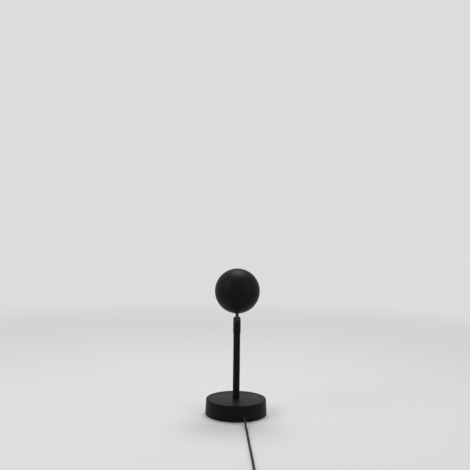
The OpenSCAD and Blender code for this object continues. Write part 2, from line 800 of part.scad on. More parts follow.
// A ring round the case at a distance along it, drawn in all round by the same amount
function switch_ring(y, draw_in) =
    let (bow = pow(2 * y / switch_l, 2))
    let (half_w = switch_w / 2 - switch_narrowing * bow, h = switch_h - switch_lowering * bow)
    let (top = [half_w - switch_top_round, h - switch_top_round])
    let (foot = [half_w - switch_foot_round, switch_foot_round])
    let (top_r = switch_top_round - draw_in, foot_r = switch_foot_round - draw_in)
    let (outline = concat(
        arc(foot, foot_r, -90, 0, 4), arc(top, top_r, 0, 90, 6),
        arc([-top.x, top.y], top_r, 90, 180, 6), arc([-foot.x, foot.y], foot_r, 180, 270, 4)
    ))
    [for (p = outline) [p.x, y, p.y]];

// The case's block: a loft that is narrower and lower towards its ends, with rounded ends
module switch_block() {
    straight = switch_l / 2 - switch_end_round;
    half = concat(
        [for (i = [1:5]) [straight * i / 5, 0]],
        [for (a = [45, 90]) [straight + switch_end_round * sin(a), switch_end_round * (1 - cos(a))]]
    );
    back = [for (i = [len(half) - 1:-1:0]) [-half[i][0], half[i][1]]];
    loft([for (s = concat(back, [[0, 0]], half)) switch_ring(s[0], s[1])]);
}

module switch_collars() {
    rib_gap = 0.8;
    rib_depth = 0.7;
    for (end = [-1, 1])
        translate([0, end * (switch_l / 2 - over), cord_z]) rotate([-90 * end, 0, 0]) difference() {
            cylinder(r1 = collar_r, r2 = collar_r - 0.4, h = collar_l + over);
            for (i = [0, 1])
                translate([0, 0, over + 0.8 + i * 2 * rib_gap])
                    ring(collar_r + over, collar_r - rib_depth, rib_gap);
        }
}

// The room inside: its ends are where the solid ends that hold the lead begin
module switch_hollow() {
    solid_end = 6;
    end = switch_l / 2 - solid_end;
    difference() {
        loft([for (i = [-4:4]) switch_ring(end * i / 4, switch_wall)]);
        for (at = pillar_at)
            translate(concat(at, -over)) cylinder(r = pillar_r, h = switch_h + 2 * over);
    }
}

// The lead's way through the case, wider in the collars
module cord_channel() {
    wide_l = collar_l + 2;
    translate([0, 0, cord_z]) rotate([90, 0, 0]) {
        cylinder(r = cord_r + slip, h = switch_l, center = true);
        for (end = [-1, 1])
            translate([0, 0, end * (switch_l / 2 + collar_l + over - wide_l / 2)])
                cylinder(r = cord_r + 0.3, h = wide_l, center = true);
    }
}

// The case with its collars, between two heights
module switch_outside(from, to) {
    intersection() {
        union() {
            switch_block();
            switch_collars();
        }
        translate([-switch_w, -switch_l, from]) cube([2 * switch_w, 2 * switch_l, to - from]);
    }
}

module switch_lower_case() {
    color(soft_black) at_switch() difference() {
        union() {
            difference() {
                switch_outside(-over, switch_part);
                switch_hollow();
            }
            for (x = [-post_in_x - post_t, post_in_x])
                translate([x, -3, switch_wall / 2])
                    cube([post_t, 6, axle_z + axle_r + 1.2 - switch_wall / 2]);
        }
        cord_channel();
        translate([0, 0, axle_z]) rotate([0, 90, 0])
            cylinder(r = axle_r + run_gap, h = switch_w, center = true);
        for (at = pillar_at)
            translate(concat(at, -over)) {
                cylinder(r = 1 + seat_gap, h = switch_h);
                cylinder(r = 2.1, h = 1.8 + over);
            }
    }
}

module switch_upper_case() {
    window_l = 14.3;
    window_w = rocker_w + 0.6;
    color(soft_black) at_switch() difference() {
        switch_outside(switch_part + slip, switch_h + over);
        switch_hollow();
        cord_channel();
        translate([-window_w / 2, -window_l / 2, switch_part]) cube([window_w, window_l, switch_h]);
        for (at = pillar_at)
            translate(concat(at, 0)) cylinder(r = 1 + run_gap, h = switch_h - 2.6);
    }
}

module switch_rocker() {
    dip = 0.8;
    corner = 42;                    // angle of the top corners over the axle
    profile = concat(
        [[0, rocker_r * sin(corner) - dip]],
        arc([0, 0], rocker_r, 180 - corner, 162, 6),
        [[-5, 1.4], [-2.4, 0], [-2.4, -3.4], [2.4, -3.4], [2.4, 0], [5, 1.4]],
        arc([0, 0], rocker_r, 18, corner, 6)
    );
    color([0.03, 0.03, 0.03]) at_switch() translate([0, 0, axle_z]) rotate([-rocker_tilt, 0, 0]) {
        rotate([90, 0, 90]) linear_extrude(rocker_w, center = true) polygon(profile);
        rotate([0, 90, 0]) cylinder(r = axle_r, h = 2 * (post_in_x + post_t), center = true);
    }
}

module switch_contacts() {
    strip = [3, 9, 0.5];
    color(brass) at_switch() for (side = [-1, 1])
        translate([0, side * 9, switch_wall]) {
            translate([-strip.x / 2, -strip.y / 2, 0]) cube(strip);
            translate([-strip.x / 2, -side * strip.y / 2 - 0.25, 0]) cube([strip.x, 0.5, 2]);
            translate([-strip.x / 2, side * strip.y / 2 - 0.25, 0]) cube([strip.x, 0.5, 3.5]);
        }
}

module switch_screws() {
    color(steel) at_switch() for (at = pillar_at)
        translate(concat(at, 1.8)) mirror([0, 0, 1]) pan_screw(1, 7.5, 1.9, 1.3);
}

// ---- Plug ----

shell_w = 12;
shell_h = 4.5;
shell_wall = 0.3;
shell_out = 12;                     // how far the metal shell stands out of the grip
shell_in = 3;
relief_l = 9;
grip_y = tail_end.y + relief_l;     // where the grip starts
grip_end = grip_y + grip_l;

module plug_at(y) {
    translate([tail_end.x, y, plug_z]) rotate([-90, 0, 0]) children();
}

module plug_grip() {
    groove = 0.6;
    color(soft_black) difference() {
        union() {
            intersection() {
                plug_at(grip_y) linear_extrude(grip_l) rounded_rectangle(grip_w, grip_h, 2);
                translate([tail_end.x, grip_y + grip_l / 2, 0])
                    linear_extrude(grip_h) rounded_rectangle(grip_w, grip_l, 3);
            }
            plug_at(tail_end.y) cylinder(r1 = cord_r + 0.7, r2 = cord_r + 1.7, h = relief_l + over);
        }
        // ribs of the strain relief and grip grooves on both sides
        for (i = [0:2])
            plug_at(tail_end.y + 1.6 + i * 2.6) ring(grip_w, cord_r + 0.4, 1);
        for (side = [-1, 1], i = [0:3])
            translate([tail_end.x + side * (grip_w / 2 + 0.4), grip_y + 6 + i * 2.2, -over])
                cylinder(r = groove + 0.3, h = grip_h + 2 * over);
        plug_at(grip_end - shell_in)
            linear_extrude(shell_in + over) square([shell_w, shell_h], center = true);
    }
}

module plug_shell() {
    window = [2.2, 2];
    color(steel) difference() {
        plug_at(grip_end - shell_in) linear_extrude(shell_in + shell_out) difference() {
            square([shell_w, shell_h], center = true);
            square([shell_w - 2 * shell_wall, shell_h - 2 * shell_wall], center = true);
        }
        for (x = [-2.9, 2.9])
            translate([tail_end.x + x - window.x / 2, grip_end + shell_out - 7, 0])
                cube([window.x, window.y, grip_h]);
    }
}

insulator_w = shell_w - 2 * shell_wall;
insulator_h = shell_h - 2 * shell_wall;
insulator_t = 1.9;
insulator_l = shell_in + shell_out - 0.4;

module plug_insulator() {
    color([0.9, 0.9, 0.88]) plug_at(grip_end - shell_in) {
        translate([-insulator_w / 2, insulator_h / 2 - insulator_t, 0])
            cube([insulator_w, insulator_t, insulator_l]);
        translate([-insulator_w / 2, -insulator_h / 2, 0]) cube([insulator_w, insulator_h, shell_in]);
    }
}

module plug_contacts() {
    contact_t = 0.15;
    contact_l = 7.5;
    color(brass) plug_at(grip_end) for (x = [-3.5, -1, 1, 3.5])
        translate([x - 0.5, insulator_h / 2 - insulator_t - contact_t, 0]) cube([1, contact_t, contact_l]);
}

// ---- The lamp ----

base_cover();
base_weight();
base_plate();
base_pad();
plate_screws();
pole_nipple();
nipple_washer();
nipple_nut();
pole_tube();
pole_lead();
fork();
pivot_screw();
friction_washers();
cord_grommet();
cord_stub();
cord_stop();
cord_lead();
cord_run();
cord_coil();
cord_tail();
coil_tie();
switch_lower_case();
switch_upper_case();
switch_rocker();
switch_contacts();
switch_screws();
plug_grip();
plug_shell();
plug_insulator();
plug_contacts();
head_shell();
head_tongue();
tongue_nut();
head_lead();
heat_sink();
heat_sink_screws();
led_board();
led_chip();
board_screws();
optic_barrel();
condenser_lens();
filter_disc();
front_lens();
lens_gasket();
lens_ring();
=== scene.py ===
"""A sunset projection lamp: a ball head on a slim pole over a weighted disc base, with a USB lead."""

import math

import bmesh
import bpy
from mathutils import Matrix, Vector


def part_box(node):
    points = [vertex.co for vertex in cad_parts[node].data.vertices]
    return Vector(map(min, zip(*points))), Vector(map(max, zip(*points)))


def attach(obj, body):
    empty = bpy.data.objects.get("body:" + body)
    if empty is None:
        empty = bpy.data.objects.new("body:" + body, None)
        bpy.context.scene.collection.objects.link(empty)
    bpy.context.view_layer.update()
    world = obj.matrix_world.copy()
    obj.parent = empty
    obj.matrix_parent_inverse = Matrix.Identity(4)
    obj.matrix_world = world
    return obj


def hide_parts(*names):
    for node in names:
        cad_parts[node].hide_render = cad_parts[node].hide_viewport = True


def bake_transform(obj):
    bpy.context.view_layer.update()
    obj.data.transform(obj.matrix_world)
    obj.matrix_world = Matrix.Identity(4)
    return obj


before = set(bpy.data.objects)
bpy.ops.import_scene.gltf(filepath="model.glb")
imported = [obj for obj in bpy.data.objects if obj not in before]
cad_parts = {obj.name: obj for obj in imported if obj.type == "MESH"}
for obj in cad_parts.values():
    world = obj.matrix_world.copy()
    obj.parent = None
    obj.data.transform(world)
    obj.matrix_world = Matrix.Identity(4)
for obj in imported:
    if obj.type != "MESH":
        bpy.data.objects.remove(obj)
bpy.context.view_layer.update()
scene = bpy.context.scene

MM = 0.001


def corners_mm(node):
    """The lowest and the highest corner of a node, in millimetres."""
    return [Vector(corner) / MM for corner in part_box(node)]


# ---- Sizes, in millimetres as in the part's source ----

# Base: the cover is a little narrower at the top
BASE_R = corners_mm("base_cover")[1].x
BASE_H = corners_mm("base_cover")[1].z
RIM_Z = corners_mm("base_cover")[0].z
BASE_DRAFT = 1.0
RIM_ROUND = 1.2
COVER_T = 1.2
TOP_T = 1.6
STUD_HOLE_R = 4.1
PAD_R = corners_mm("base_pad")[1].x
PAD_T = corners_mm("base_pad")[1].z
PLATE_T = corners_mm("base_plate")[1].z - PAD_T
PLATE_SCREW_RING = 30.0

# Screws: the head's radius and height, the shank's radius and length, and the pitch of the thread
PLATE_SCREW = (2.7, PLATE_T, 1.5, 8 - PLATE_T, 0.5)
HEAT_SINK_SCREW = (2.3, 1.7, 1.25, 9.0, 0.45)
BOARD_SCREW = (1.8, 1.3, 1.0, 4.0, 0.4)
SWITCH_SCREW = (1.9, 1.3, 1.0, 7.5, 0.4)
THREAD_DEPTH = 0.18

# Pole
POLE_R = corners_mm("pole_tube")[1].x
POLE_TOP_Z = corners_mm("pole_tube")[1].z
POLE_WALL = 1.0
NIPPLE_R = corners_mm("pole_nipple")[1].x
NIPPLE_BORE_R = 2.5
NIPPLE_PITCH = 0.75
NIPPLE_THREAD_DEPTH = 0.3

# The lead's two cores: their radius, how far each lies from the middle of the pair, and where the pair
# crosses the tilt hinge, from the floor of the fork's slot up into the tongue's hole
CORE_R = 0.4
CORE_GAP = 0.45
CORES_IN_SLOT = (0.0, 2.85, 134.1)
CORES_IN_TONGUE = (0.0, 3.13, 135.9)

# Head, measured from the ball's centre along the beam
BALL_Z = 180.5
BALL_R = 33.0
LENS_R = corners_mm("front_lens")[1].x
LENS_BACK = corners_mm("front_lens")[0].y
LENS_TIP = corners_mm("front_lens")[1].y
LENS_CURVE = 40.0
CONDENSER_R = corners_mm("condenser_lens")[1].x
CONDENSER_BACK = corners_mm("condenser_lens")[0].y
CONDENSER_TIP = corners_mm("condenser_lens")[1].y
CONDENSER_CURVE = 13.0
MOUTH = corners_mm("head_shell")[1].y
RING_FRONT = corners_mm("lens_ring")[1].y
RING_BACK = corners_mm("lens_ring")[0].y
SKIRT_R = 24.0
RING_BORE_R = 21.2
RING_OPENING_R = 19.8
RING_LIP = 2.0
RING_CHAMFER = 1.2
SEAM = 0.5
GASKET_SECTION_R = 0.48
SINK_FRONT = -8.0
POST_RING_R = 20.0
BOARD_T = 1.6
BOARD_SCREW_X = 8.0

# Switch
SWITCH_MID = Vector((20.6, -287.0, 0.0))
SWITCH_SCREW_AT = Vector((4.0, 17.0))
SWITCH_SCREW_Z = 1.8

# The lead, and the grommet in the base's wall; IN, OUT and CUT are distances from the lamp's axis
CORD_R = 1.5
EXIT_ANGLE = 13.0
EXIT_Z = 7.5
GROMMET_IN = 43.2
GROMMET_OUT = 46.19
GROMMET_FLANGE_R = 4.0
GROMMET_FLANGE_T = 1.3
GROMMET_SLACK = 0.05
CORD_HOLE_R = 3.1
CORD_HOLE_CUT = (30.0, 60.0)
STUB_IN = 31.0

# The lead over the table, from outside the grommet to inside the switch
LEAD_ROUTE = [
    (12.5, -56.5, 6.3), (12.9, -63, 4.3), (13.4, -70, 2.5), (14, -78, 1.6),
    (14.5, -87, 1.5), (14.9, -96, 1.5), (15.2, -105, 1.5), (15.6, -114, 1.5),
    (15.9, -123, 1.5), (16.3, -132, 1.5), (16.7, -141, 1.5), (17.1, -150, 1.5),
    (17.5, -159, 1.5), (17.9, -168, 1.5), (18.3, -177, 1.5), (18.7, -186, 1.5),
    (19.1, -195, 1.5), (19.5, -204, 1.5), (19.8, -213, 1.5), (20.1, -221, 1.5),
    (20.3, -228, 1.6), (20.5, -235, 2.4), (20.6, -242, 4.1), (20.6, -249, 5.8),
    (20.6, -255, 6.5), (20.6, -260, 6.5), (20.6, -263.5, 6.5),
]  # fmt: skip

# From inside the switch down to the coil: how far along, and the share of the drop
RUN_START = (20.6, -310.5, 6.5)
RUN_STEPS = [(0, 0), (6, 0), (10, 0.05), (16, 0.33), (23, 0.76), (30, 0.98), (34, 1), (37.5, 1)]

# The coil: its radius goes in and out again, and it climbs a layer where it turns back
COIL_Z = 2.3
COIL_PITCH = 3.45
COIL_TURNS = 10.5
COIL_LAYERS = 4
COIL_OUT_R = 22.2
COIL_MID = (RUN_START[0] - COIL_OUT_R, RUN_START[1] - RUN_STEPS[-1][0] - 2 * CORD_R)
COIL_TOP_Z = COIL_Z + (COIL_LAYERS - 1) * COIL_PITCH
RUN_DROP = RUN_START[2] - COIL_Z

# From the top of the coil down to the plug
TAIL_START = (COIL_MID[0] - COIL_OUT_R, COIL_MID[1] + 2 * CORD_R, COIL_TOP_Z)
PLUG_Z = 4.0
TAIL_DROP = COIL_TOP_Z - PLUG_Z
TAIL_STEPS = [
    (0, 0), (3, 0), (8, 0.05), (14, 0.23), (20, 0.49),
    (26, 0.75), (32, 0.94), (37, 1), (40, 1), (43, 1),
]  # fmt: skip


# ---- Camera ----

# Its place in metres, and how far it leans to one side in degrees
CAMERA_AT = (-0.0045, -0.9217, 0.2627)
CAMERA_LEAN = -0.7
CAMERA_LENS = 48.0
CLIP_START = 0.01


def set_camera():
    """The photograph's view: level, a little to the left of the pole, and leaning a little."""
    lens = bpy.data.cameras.new("photo_view")
    lens.lens = CAMERA_LENS
    lens.clip_start = CLIP_START
    camera = bpy.data.objects.new("photo_view", lens)
    camera.location = CAMERA_AT
    camera.rotation_euler = (math.radians(90), math.radians(CAMERA_LEAN), 0)
    scene.collection.objects.link(camera)
    scene.camera = camera


# ---- Places ----

# Where a piece turned about Z goes: onto the beam, and into the base's wall where the lead comes out
ON_BEAM = Matrix.Translation((0, 0, BALL_Z * MM)) @ Matrix.Rotation(math.radians(-90), 4, "X")
AT_EXIT = (
    Matrix.Rotation(math.radians(EXIT_ANGLE - 90), 4, "Z")
    @ Matrix.Translation((0, 0, EXIT_Z * MM))
    @ Matrix.Rotation(math.radians(90), 4, "Y")
)


def shifted(x, y, z):
    """A move by so many millimetres."""
    return Matrix.Translation(Vector((x, y, z)) * MM)


# ---- Outlines of turned pieces, as points (radius, height) in millimetres ----

# How far from a corner its support points are, as a multiple of where its rounding starts
SUPPORT = 1.3


def arc(centre, r, start, end, steps):
    """Points on an arc, from one angle to the other in degrees."""
    angles = [math.radians(start + (end - start) * i / steps) for i in range(steps + 1)]
    return [(centre[0] + r * math.cos(a), centre[1] + r * math.sin(a)) for a in angles]


def rounded(corners, steps=5):
    """The outline with its corners rounded: a corner is (radius, height) or (radius, height, rounding).

    Close to each rounding, a support point keeps the shading of the flat face beside it even.
    """
    line = []
    for i, corner in enumerate(corners):
        here = Vector(corner[:2])
        if len(corner) == 2:
            line.append(here)
            continue
        before = (Vector(corners[i - 1][:2]) - here).normalized()
        after = (Vector(corners[(i + 1) % len(corners)][:2]) - here).normalized()
        half = before.angle(after) / 2
        reach = corner[2] / math.tan(half)
        centre = here + (before + after).normalized() * corner[2] / math.sin(half)
        first = here + before * reach - centre
        last = here + after * reach - centre
        line.append(here + before * reach * SUPPORT)
        line += [centre + first.slerp(last, step / steps) * corner[2] for step in range(steps + 1)]
        line.append(here + after * reach * SUPPORT)
    return [tuple(point) for point in line]


def threaded(r, low, high, pitch, depth):
    """The outline of a screw's thread from one height to the other, drawn as a row of ridges."""
    count = round(abs(high - low) / pitch)
    step = (high - low) / count
    line = []
    for i in range(count):
        line += [(r - depth, low + i * step), (r, low + (i + 0.5) * step)]
    return line


# ---- Meshes ----

# When a solid's triangles are joined, corners this close are one, in millimetres, and so are faces that
# lean this little against each other, in degrees
SAME_POINT = 0.002
SAME_PLANE = 0.3

# A corner this close to the ball's radius is on the ball; a new one starts at most this far inside it
ON_BALL = 0.003
DEEPEST_NEW = 0.08


def add_piece(name, mesh):
    """A new object in the scene that holds the mesh."""
    piece = bpy.data.objects.new(name, mesh)
    scene.collection.objects.link(piece)
    return piece


def mesh_from(form, name):
    """A mesh with its faces looking outwards, made from a bmesh that is then let go."""
    bmesh.ops.recalc_face_normals(form, faces=form.faces)
    mesh = bpy.data.meshes.new(name)
    form.to_mesh(mesh)
    form.free()
    return mesh


def shade(mesh, sharp_over=32):
    """Smooth faces with sharp edges where the surface turns by more than that angle."""
    mesh.shade_smooth()
    mesh.set_sharp_from_angle(angle=math.radians(sharp_over))


def with_modifiers(piece):
    """Turns the piece and its modifiers into one plain mesh."""
    evaluated = piece.evaluated_get(bpy.context.evaluated_depsgraph_get())
    mesh = bpy.data.meshes.new_from_object(evaluated)
    piece.modifiers.clear()
    piece.data = mesh
    return piece


def lathe(name, outline, place=Matrix.Identity(4), segments=160):
    """A solid of revolution about Z. An outline that starts on the axis ends there too."""
    form = bmesh.new()
    turns = [2 * math.pi * k / segments for k in range(segments)]
    rings = []
    for r, z in outline:
        spots = [(r * math.cos(a), r * math.sin(a), z) for a in turns] if r > 0 else [(0, 0, z)]
        rings.append([form.verts.new(Vector(spot) * MM) for spot in spots])
    pairs = list(zip(rings, rings[1:]))
    if outline[0][0] > 0:
        pairs.append((rings[-1], rings[0]))
    for a, b in pairs:
        for k in range(segments):
            n = k + 1
            corners = (a[k % len(a)], a[n % len(a)], b[n % len(b)], b[k % len(b)])
            form.faces.new(tuple(dict.fromkeys(corners)))
    mesh = mesh_from(form, name)
    mesh.transform(place)
    shade(mesh)
    return add_piece(name, mesh)


def cut(piece, cutter):
    """Takes the cutter out of the piece, and removes it."""
    boolean = piece.modifiers.new("cut", "BOOLEAN")
    boolean.operation = "DIFFERENCE"
    boolean.solver = "EXACT"
    boolean.object = cutter
    with_modifiers(piece)
    shade(piece.data)
    bpy.data.objects.remove(cutter)
    return piece


def merged_copy(name, node, flatten=True):
    """A CAD node's mesh with its triangles joined, and its flat faces whole where that is asked for."""
    form = bmesh.new()
    form.from_mesh(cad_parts[node].data)
    bmesh.ops.remove_doubles(form, verts=form.verts, dist=SAME_POINT * MM)
    if flatten:
        flat = math.radians(SAME_PLANE)
        bmesh.ops.dissolve_limit(form, angle_limit=flat, verts=form.verts, edges=form.edges)
    mesh = bpy.data.meshes.new(name)
    form.to_mesh(mesh)
    form.free()
    mesh.materials.clear()
    return add_piece(name, mesh)


def soften_edges(piece, width, segments=2, over=35):
    """Rounds the edges that are sharper than that angle; the faces beside them stay flat to the light."""
    shade(piece.data, over)
    bevel = piece.modifiers.new("edges", "BEVEL")
    bevel.width = width * MM
    bevel.segments = segments
    bevel.limit_method = "ANGLE"
    bevel.angle_limit = math.radians(over)
    bevel.miter_outer = "MITER_ARC"
    even = piece.modifiers.new("even_shading", "WEIGHTED_NORMAL")
    even.keep_sharp = True
    return with_modifiers(piece)


def refine_ball(piece):
    """Splits the faces on the ball's outside in four, with their new points on the ball."""
    centre = Vector((0, 0, BALL_Z * MM))
    form = bmesh.new()
    form.from_mesh(piece.data)
    outside = {v for v in form.verts if abs((v.co - centre).length / MM - BALL_R) < ON_BALL}
    edges = [edge for edge in form.edges if outside.issuperset(edge.verts)]
    bmesh.ops.subdivide_edges(form, edges=edges, cuts=1, use_grid_fill=True)
    for v in form.verts:
        off = BALL_R - (v.co - centre).length / MM
        if ON_BALL <= off < DEEPEST_NEW:
            v.co = centre + (v.co - centre).normalized() * BALL_R * MM
    form.to_mesh(piece.data)
    form.free()
    shade(piece.data)
    return piece


def spline_through(points, per_span=6):
    """A smooth line through the points, as a list of points."""
    padded = [2 * points[0] - points[1], *points, 2 * points[-1] - points[-2]]
    line = []
    for a, b, c, d in zip(padded, padded[1:], padded[2:], padded[3:]):
        for step in range(per_span):
            t = step / per_span
            line.append(
                0.5 * ((2 * b) + (c - a) * t + (2 * a - 5 * b + 4 * c - d) * t**2
                       + (3 * b - a - 3 * c + d) * t**3)
            )  # fmt: skip
    return [*line, points[-1]]


def tube(name, line, radius, sides=14):
    """A round tube along the line, which never runs straight up."""
    form = bmesh.new()
    rings = []
    for i, point in enumerate(line):
        ahead = (line[min(i + 1, len(line) - 1)] - line[max(i - 1, 0)]).normalized()
        side = ahead.cross(Vector((0, 0, 1))).normalized() * radius
        up = side.cross(ahead)
        turns = [2 * math.pi * k / sides for k in range(sides)]
        rings.append([form.verts.new(point + math.cos(a) * side + math.sin(a) * up) for a in turns])
    for a, b in zip(rings, rings[1:]):
        for k in range(sides):
            form.faces.new((a[k], a[(k + 1) % sides], b[(k + 1) % sides], b[k]))
    form.faces.new(rings[0])
    form.faces.new(rings[-1])
    mesh = mesh_from(form, name)
    shade(mesh)
    return add_piece(name, mesh)


# ---- Repeats ----


def calculate(tree, operation, *values):
    """A math node's result; each value may be a number or a socket."""
    node = tree.nodes.new("ShaderNodeMath")
    node.operation = operation
    for socket, value in zip(node.inputs, values):
        if isinstance(value, (int, float)):
            socket.default_value = value
        else:
            tree.links.new(value, socket)
    return node.outputs[0]


def make_ring_tree():
    """A geometry tree that sets copies of a shape out on a ring about Z, each turned with it."""
    tree = bpy.data.node_groups.new("set_out_on_a_ring", "GeometryNodeTree")
    for name, kind in (
        ("Geometry", "NodeSocketGeometry"), ("Shape", "NodeSocketObject"), ("Count", "NodeSocketInt"),
        ("Ring Radius", "NodeSocketFloat"), ("Start Angle", "NodeSocketFloat"),
        ("Finish", "NodeSocketMaterial"),
    ):  # fmt: skip
        tree.interface.new_socket(name, in_out="INPUT", socket_type=kind)
    tree.interface.new_socket("Geometry", in_out="OUTPUT", socket_type="NodeSocketGeometry")
    given = tree.nodes.new("NodeGroupInput").outputs
    result = tree.nodes.new("NodeGroupOutput")
    number = tree.nodes.new("GeometryNodeInputIndex").outputs["Index"]
    share = calculate(tree, "DIVIDE", number, given["Count"])
    angle = calculate(tree, "MULTIPLY_ADD", share, 2 * math.pi, given["Start Angle"])
    along_x = calculate(tree, "MULTIPLY", calculate(tree, "COSINE", angle), given["Ring Radius"])
    along_y = calculate(tree, "MULTIPLY", calculate(tree, "SINE", angle), given["Ring Radius"])
    place = tree.nodes.new("ShaderNodeCombineXYZ")
    turn = tree.nodes.new("ShaderNodeCombineXYZ")
    points = tree.nodes.new("GeometryNodePoints")
    shape = tree.nodes.new("GeometryNodeObjectInfo")
    copies = tree.nodes.new("GeometryNodeInstanceOnPoints")
    real = tree.nodes.new("GeometryNodeRealizeInstances")
    finish = tree.nodes.new("GeometryNodeSetMaterial")
    for start, end in (
        (along_x, place.inputs["X"]),
        (along_y, place.inputs["Y"]),
        (angle, turn.inputs["Z"]),
        (given["Count"], points.inputs["Count"]),
        (place.outputs["Vector"], points.inputs["Position"]),
        (given["Shape"], shape.inputs["Object"]),
        (points.outputs["Points"], copies.inputs["Points"]),
        (shape.outputs["Geometry"], copies.inputs["Instance"]),
        (turn.outputs["Vector"], copies.inputs["Rotation"]),
        (copies.outputs["Instances"], real.inputs["Geometry"]),
        (real.outputs["Geometry"], finish.inputs["Geometry"]),
        (given["Finish"], finish.inputs["Material"]),
        (finish.outputs["Geometry"], result.inputs["Geometry"]),
    ):  # fmt: skip
        tree.links.new(start, end)
    return tree


def set_inputs(modifier, values):
    """Sets a geometry tree's inputs by name."""
    for item in modifier.node_group.interface.items_tree:
        if item.in_out == "INPUT" and item.name in values:
            modifier[item.identifier] = values[item.name]


def on_a_ring(name, shape, count, radius, start, finish, place):
    """Copies of the shape on a ring, as one plain mesh; the shape itself is removed."""
    piece = add_piece(name, bpy.data.meshes.new(name))
    repeat = piece.modifiers.new("repeat", "NODES")
    repeat.node_group = RING_TREE
    set_inputs(repeat, {
        "Shape": shape, "Count": count, "Ring Radius": radius * MM,
        "Start Angle": math.radians(start), "Finish": MATERIALS[finish],
    })  # fmt: skip
    with_modifiers(piece)
    piece.data.transform(place)
    bpy.data.objects.remove(shape)
    return piece


RING_TREE = make_ring_tree()


# ---- Materials ----


def shader_group(name, values, outputs):
    """A shader node group with a vector input and float inputs and outputs, and its two ends."""
    group = bpy.data.node_groups.new(name, "ShaderNodeTree")
    group.interface.new_socket("Vector", in_out="INPUT", socket_type="NodeSocketVector")
    for key, value in values.items():
        socket = group.interface.new_socket(key, in_out="INPUT", socket_type="NodeSocketFloat")
        socket.default_value = value
    for key in outputs:
        group.interface.new_socket(key, in_out="OUTPUT", socket_type="NodeSocketFloat")
    return group, group.nodes.new("NodeGroupInput"), group.nodes.new("NodeGroupOutput")


def noise(tree, vector, scale, detail=3.0):
    """A noise's value at the vector; its scale may be a number or a socket."""
    node = tree.nodes.new("ShaderNodeTexNoise")
    node.inputs["Detail"].default_value = detail
    if isinstance(scale, float):
        node.inputs["Scale"].default_value = scale
    else:
        tree.links.new(scale, node.inputs["Scale"])
    tree.links.new(vector, node.inputs["Vector"])
    return node.outputs["Fac"]


def spread_to(tree, value, low, high):
    """Maps the middle of a noise to the range from low to high; each may be a number or a socket."""
    node = tree.nodes.new("ShaderNodeMapRange")
    node.inputs["From Min"].default_value = 0.3
    node.inputs["From Max"].default_value = 0.7
    tree.links.new(value, node.inputs["Value"])
    for key, end in (("To Min", low), ("To Max", high)):
        if isinstance(end, float):
            node.inputs[key].default_value = end
        else:
            tree.links.new(end, node.inputs[key])
    return node.outputs["Result"]


def make_grain():
    """The fine grain of a coat or a moulding, as a height, and patches of gloss from handling."""
    group, given, result = shader_group(
        "surface_grain",
        {"Grain": 1500.0, "Patches": 45.0, "Smooth": 0.3, "Rough": 0.4},
        ["Height", "Roughness"],
    )
    fine = noise(group, given.outputs["Vector"], given.outputs["Grain"])
    patches = noise(group, given.outputs["Vector"], given.outputs["Patches"], 4.0)
    group.links.new(fine, result.inputs["Height"])
    roughness = spread_to(group, patches, given.outputs["Smooth"], given.outputs["Rough"])
    group.links.new(roughness, result.inputs["Roughness"])
    return group


def make_beam_distance():
    """How far a point is from the beam's axis, from 0 on it to 1 at the given radius."""
    group, given, result = shader_group("beam_distance", {"Radius": 0.02}, ["Distance"])
    # The beam runs along Y, so only X and Z count, from the ball's centre
    apart = group.nodes.new("ShaderNodeVectorMath")
    apart.operation = "MULTIPLY_ADD"
    apart.inputs[1].default_value = (1, 0, 1)
    apart.inputs[2].default_value = (0, 0, -BALL_Z * MM)
    length = group.nodes.new("ShaderNodeVectorMath")
    length.operation = "LENGTH"
    share = group.nodes.new("ShaderNodeMath")
    share.operation = "DIVIDE"
    group.links.new(given.outputs["Vector"], apart.inputs[0])
    group.links.new(apart.outputs["Vector"], length.inputs[0])
    group.links.new(length.outputs["Value"], share.inputs[0])
    group.links.new(given.outputs["Radius"], share.inputs[1])
    group.links.new(share.outputs[0], result.inputs["Distance"])
    return group


GRAIN = make_grain()
BEAM_DISTANCE = make_beam_distance()


def new_material(name):
    """A new material, its tree, its shader and its Object coordinates."""
    material = bpy.data.materials.new(name)
    material.use_nodes = True
    tree = material.node_tree
    place = tree.nodes.new("ShaderNodeTexCoord").outputs["Object"]
    return material, tree, tree.nodes["Principled BSDF"], place


def set_plain(skin, plain):
    """Sets the shader's constant values; ior_level stands for the socket IOR Level, and so on."""
    for key, value in plain.items():
        skin.inputs[key.replace("_", " ").title().replace("Ior", "IOR")].default_value = value


def surface(
    name, colour, shift=None, grain=1500.0, patches=45.0, smooth=0.3, rough=0.4,
    bump=0.05, depth=0.05, **plain
):  # fmt: skip
    """A material with a fine grain and patches of gloss; shift is the colour that it drifts to.

    grain and patches say how many there are to a metre, smooth and rough between which roughnesses the
    gloss goes, and bump and depth how strong the grain is and how deep in millimetres.
    """
    material, tree, skin, place = new_material(name)
    worn = tree.nodes.new("ShaderNodeGroup")
    worn.node_tree = GRAIN
    tree.links.new(place, worn.inputs["Vector"])
    for key, value in (("Grain", grain), ("Patches", patches), ("Smooth", smooth), ("Rough", rough)):
        worn.inputs[key].default_value = value
    tree.links.new(worn.outputs["Roughness"], skin.inputs["Roughness"])
    relief = tree.nodes.new("ShaderNodeBump")
    relief.inputs["Strength"].default_value = bump
    relief.inputs["Distance"].default_value = depth * MM
    tree.links.new(worn.outputs["Height"], relief.inputs["Height"])
    tree.links.new(relief.outputs["Normal"], skin.inputs["Normal"])
    blend = tree.nodes.new("ShaderNodeMix")
    blend.data_type = "RGBA"
    blend.inputs["A"].default_value = (*colour, 1)
    blend.inputs["B"].default_value = (*(shift or colour), 1)
    tree.links.new(noise(tree, place, patches * 0.7, 3.0), blend.inputs["Factor"])
    tree.links.new(blend.outputs["Result"], skin.inputs["Base Color"])
    set_plain(skin, plain)
    return material


